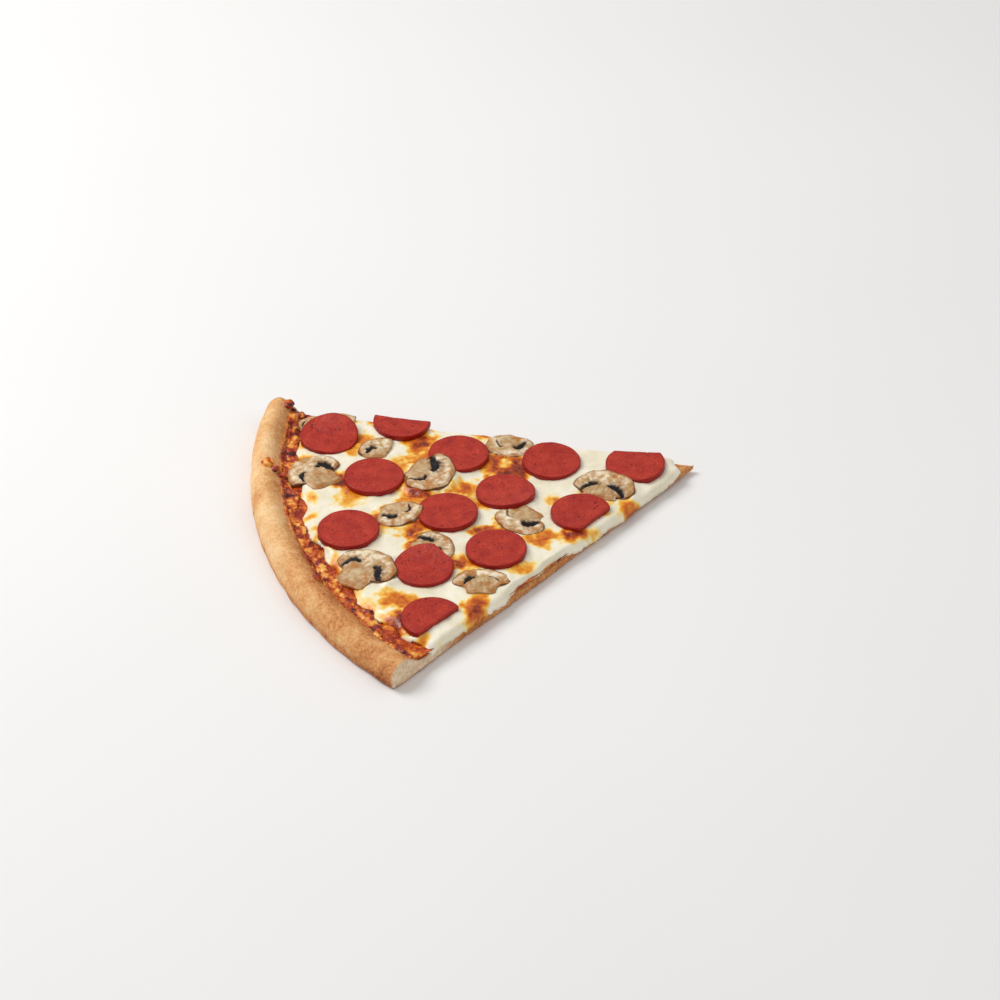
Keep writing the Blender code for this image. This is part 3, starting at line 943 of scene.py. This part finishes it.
def make_sausage(name, look, seed):
    """One slice: a disc with a soft edge, a faint dish from the oven's heat, and small pits."""
    reach, bearing, size, cuts = SAUSAGES[name]
    radius = SAUSAGE_RADIUS * size
    rng = random.Random(seed)
    bpy.ops.object.select_all(action="DESELECT")
    bpy.ops.mesh.primitive_cylinder_add(
        vertices=96, radius=radius, depth=SAUSAGE_THICKNESS, end_fill_type="NGON"
    )
    made = bpy.context.object
    bpy.ops.object.mode_set(mode="EDIT")
    bpy.ops.mesh.select_all(action="SELECT")
    bpy.ops.transform.resize(value=(1.012, 0.988, 1))
    bpy.ops.object.mode_set(mode="OBJECT")
    for direction, distance in cuts:
        cut_away(made, direction, distance * MM)
    apply_modifier(made, "BEVEL", width=0.35 * MM, segments=2, limit_method="ANGLE")
    remesh(made, 0.32 * MM)
    soften(made, 2)
    points = mesh_points(made)
    spread = np.hypot(points[:, 0], points[:, 1])
    top = smoothstep(0.2 * MM, 1.0 * MM, points[:, 2])
    tilt_way = rng.uniform(0, math.tau)
    dish = 0.5 * (spread / radius) ** 2 * MM * rng.uniform(0.2, 1.0)
    sag = 0.35 * MM * np.cos(2 * (np.arctan2(points[:, 1], points[:, 0]) - tilt_way))
    points[:, 2] += dish + sag * (spread / radius) ** 2
    shifted = points + np.array([seed * 0.1, 0, 0])
    points[:, 2] += top * (0.16 * grain(shifted, 4 * MM, 71) + 0.05 * grain(shifted, 1.2 * MM, 72)) * MM
    pit = np.zeros(len(points))
    for _ in range(rng.randint(16, 28)):
        angle, out = rng.uniform(0, math.tau), radius * math.sqrt(rng.uniform(0, 0.85))
        wide = rng.choice((0.2, 0.25, 0.3, 0.45)) * MM
        away = np.hypot(points[:, 0] - out * math.cos(angle), points[:, 1] - out * math.sin(angle))
        pit = np.maximum(pit, np.exp(-((away / wide) ** 2)) * rng.uniform(0.5, 1))
    points[:, 2] -= pit * top * 0.35 * MM
    move_points(made, points)
    skin = smoothstep(radius - 0.9 * MM, radius - 0.2 * MM, spread)
    paint(made, "skin", np.clip(skin * 0.85 + 0.6 * (1 - top) , 0, 1))
    paint(made, "pit", pit * top)
    made.matrix_world = lie_of(name, reach, bearing)
    settle_in_place(made)
    sink_in(made, name, SAUSAGE_SINK + (PROPPED_SINK if name in PROPPED else 0))
    finish_piece(made, f"{name}_baked", name, look)
    return made


def mushroom_outline(half_width, dome, lip, stem):
    """A slice of button mushroom, its dome at +Y: the cap curls back round its gills to the stem."""
    foot = STEM_SHARE * half_width
    steps = [math.radians(7.5 * i) for i in range(1, 13)]
    right = [Vector((half_width * math.sin(t), dome * math.cos(t), 0)) for t in steps]
    curl = [Vector((half_width * math.cos(t), -lip * math.sin(t), 0)) for t in steps[:11]]
    if stem > lip:
        right += curl[:6] + [
            Vector((foot * 1.05, -0.88 * lip, 0)),
            Vector((foot, -(0.6 * lip + 0.4 * stem), 0)),
            Vector((foot, -(0.2 * lip + 0.8 * stem), 0)),
            Vector((0.7 * foot, -stem, 0)),
        ]
    else:
        right += curl
    left = [Vector((-point.x, point.y, 0)) for point in reversed(right)]
    return [Vector((0, dome, 0))] + right + left


def curved_distance(points, path):
    """How far each point is, seen from above, from an open path, and how far along it, 0 to 1."""
    nearest = np.full(len(points), 1.0)
    along = np.zeros(len(points))
    for i, (a, b) in enumerate(zip(path, path[1:])):
        ex, ey = b[0] - a[0], b[1] - a[1]
        share = ((points[:, 0] - a[0]) * ex + (points[:, 1] - a[1]) * ey) / (ex * ex + ey * ey)
        share = np.clip(share, 0, 1)
        away = np.hypot(points[:, 0] - a[0] - share * ex, points[:, 1] - a[1] - share * ey)
        along = np.where(away < nearest, (i + share) / (len(path) - 1), along)
        nearest = np.minimum(nearest, away)
    return nearest, along


def make_mushroom(name, look, seed):
    """One slice: cut flesh with fibres, gills sunk beside the stem, and curled, seared edges."""
    reach, bearing, dome_way, half_width, dome, lip, stem, cuts = MUSHROOMS[name]
    half_width, dome, lip, stem = half_width * MM, dome * MM, lip * MM, stem * MM
    rng = random.Random(seed)
    outline = mushroom_outline(half_width, dome, lip, stem)
    bpy.ops.object.select_all(action="DESELECT")
    bpy.ops.mesh.primitive_circle_add(vertices=len(outline), radius=half_width, fill_type="NGON")
    made = bpy.context.object
    for vertex, point in zip(made.data.vertices, outline):
        vertex.co = point - Vector((0, 0, MUSHROOM_THICKNESS / 2))
    bpy.ops.object.mode_set(mode="EDIT")
    bpy.ops.mesh.select_all(action="SELECT")
    bpy.ops.mesh.extrude_region_move(TRANSFORM_OT_translate={"value": (0, 0, MUSHROOM_THICKNESS)})
    bpy.ops.mesh.select_all(action="SELECT")
    bpy.ops.mesh.normals_make_consistent(inside=False)
    bpy.ops.object.mode_set(mode="OBJECT")
    turned = dome_way - 90
    for direction, distance in cuts:
        cut_away(made, direction - turned, distance * MM)
    remesh(made, 0.33 * MM)
    soften(made, 2)
    points = mesh_points(made)
    shifted = points + np.array([0, seed * 0.1, 0])
    flat = np.array([[p.x, p.y] for p in outline] + [[outline[0].x, outline[0].y]])
    rim_away, _ = curved_distance(points, flat)
    on_cap = points[:, 1] > -0.42 * dome
    skin = smoothstep(0.55 * MM, 0.2 * MM, np.where(on_cap, rim_away, 1.0))
    top = smoothstep(0.0, 0.9 * MM, points[:, 2])
    gill, halo = np.zeros(len(points)), np.zeros(len(points))
    for side, fill in zip((-1, 1), GILLS[name]):
        if not fill:
            continue
        inner = rng.uniform(0.20, 0.32) * half_width
        outer = rng.uniform(0.56, 0.74) * half_width
        path = []
        for i in range(7):
            share = i / 6
            x = side * (inner + (outer - inner) * share)
            y = dome * (0.30 * math.sin(math.pi * (0.30 + 0.62 * share)) - 0.10 - 0.22 * share**2)
            path.append((x, y))
        away, along = curved_distance(points, path)
        wide = dome * 0.10 * fill * (0.35 + 1.1 * np.sin(np.pi * np.clip(0.15 + 0.7 * along, 0, 1)))
        wide *= 1 + 0.6 * grain(shifted, 1.3 * MM, 83)
        gill = np.maximum(gill, smoothstep(1.1, 0.7, away / wide))
        halo = np.maximum(halo, smoothstep(2.6, 1.0, away / wide) * 0.6)
    halo *= np.clip(0.6 + 1.2 * grain(shifted, 2 * MM, 91), 0, 1)
    in_stem = smoothstep(0.55 * half_width, 0.38 * half_width, np.abs(points[:, 0]))
    in_stem *= smoothstep(0.25 * dome, -0.05 * dome, points[:, 1])
    turn = np.arctan2(points[:, 0], points[:, 1] + 0.3 * dome)
    rays = np.stack([turn * 9 * MM, rim_away * 0.2, np.full_like(turn, seed * 0.1)], axis=1)
    strands = shifted * np.array([1, 0.15, 1])
    fibre = np.where(in_stem > 0.5, grain(strands, 1.0 * MM, 92), 0.7 * grain(rays, 0.9 * MM, 93))
    upper = points[:, 2] > 0
    points[:, 2] = np.where(upper, 0.45 * points[:, 2], points[:, 2])
    points[:, 2] -= np.where(upper, 0.7 * MM * smoothstep(1.8 * MM, 0.2 * MM, rim_away), 0)
    points[:, 2] -= gill * top * 0.6 * MM
    relief = 0.45 * grain(shifted, 5 * MM, 84) + 0.18 * grain(shifted, 1.8 * MM, 85)
    points[:, 2] += relief * MM * (0.4 + 0.6 * top)
    curl = smoothstep(0.5, 1.0, np.hypot(points[:, 0] / half_width, points[:, 1] / dome))
    points[:, 2] += curl * rng.uniform(-0.3, 0.6) * MM
    points[:, 2] += 0.4 * MM * np.sin(points[:, 0] / half_width * 2 + rng.uniform(0, 6))
    sway = np.stack([grain(shifted, 7 * MM, 86), grain(shifted, 7 * MM, 87)], axis=1)
    points[:, :2] += sway * 1.1 * MM
    move_points(made, points)
    side_wall = 1 - smoothstep(-0.4 * MM, 0.9 * MM, points[:, 2])
    sear = smoothstep(3.0 * MM, 0.3 * MM, rim_away) * (0.75 + 1.3 * grain(shifted, 4 * MM, 88))
    sear = np.maximum(sear, 0.3 * side_wall)
    sear = np.maximum(sear, 0.9 * smoothstep(0.25, 0.6, rough_grain(shifted, 6 * MM, 89, 3)))
    paint(made, "gill", gill * top)
    paint(made, "halo", halo * top)
    paint(made, "fibre", np.clip(0.5 + 0.5 * fibre, 0, 1))
    paint(made, "stem", in_stem)
    paint(made, "skin", np.clip(skin * (0.8 + 0.4 * grain(shifted, 3 * MM, 90)), 0, 1))
    paint(made, "sear", np.clip(sear, 0, 1))
    spun = Matrix.Rotation(math.radians(turned), 4, "Z")
    made.matrix_world = lie_of(name, reach, bearing) @ spun
    settle_in_place(made)
    sink_in(made, name, MUSHROOM_SINK)
    finish_piece(made, f"{name}_baked", name, look)
    return made


# ---------------------------------------------------------------- stage, light and camera


def make_stage():
    bpy.ops.object.select_all(action="DESELECT")
    bpy.ops.mesh.primitive_plane_add(size=6, location=(0, 0, -0.05 * MM))
    floor = bpy.context.object
    floor.name = "floor"
    look = Look("pale floor", Roughness=0.8)
    shade = look.blend(look.noise(0.3, 2), tone(238, 236, 234), tone(244, 242, 240))
    floor.data.materials.append(look.done(shade))


def lamp(name, place, aim, size, watts):
    light = bpy.data.lights.new(name, "AREA")
    light.shape = "RECTANGLE"
    light.size, light.size_y = size
    light.energy = watts
    light.color = (1, 1, 1)
    made = bpy.data.objects.new(name, light)
    made.location = place
    made.rotation_euler = (Vector(aim) - Vector(place)).to_track_quat("-Z", "Y").to_euler()
    bpy.context.scene.collection.objects.link(made)


def light_studio():
    world = bpy.data.worlds.new("soft studio")
    bpy.context.scene.world = world
    world.use_nodes = True
    world.node_tree.nodes["Background"].inputs["Color"].default_value = (1, 1, 1, 1)
    world.node_tree.nodes["Background"].inputs["Strength"].default_value = 0.48
    lamp("key", (-0.75, 0.65, 1.2), (0, 0, 0), (0.8, 0.8), 16)
    lamp("fill", (0.9, -0.9, 1.1), (0, 0, 0), (1.2, 1.2), 3)


def set_camera():
    view = bpy.data.cameras.new("camera")
    view.lens = 99
    view.sensor_width = 36
    made = bpy.data.objects.new("camera", view)
    made.location = (-305.6 * MM, -916.9 * MM, 744.8 * MM)
    aim = Vector((10.27 * MM, 8.34 * MM, 0))
    made.rotation_euler = (aim - made.location).to_track_quat("-Z", "Y").to_euler()
    bpy.context.scene.collection.objects.link(made)
    bpy.context.scene.camera = made


def main():
    bpy.context.scene.view_settings.view_transform = "Standard"
    set_camera()
    light_studio()
    make_stage()
    sausage, mushroom = smoked_sausage(), baked_mushroom()
    sauce = baked_sauce()
    make_dough(baked_dough())
    make_sauce(sauce)
    make_fried_rim(sauce)
    toppings = [make_sausage(name, sausage, seed + 1) for seed, name in enumerate(SAUSAGES)]
    toppings += [make_mushroom(name, mushroom, seed + 40) for seed, name in enumerate(MUSHROOMS)]
    make_cheese(melted_cheese(), toppings)


main()
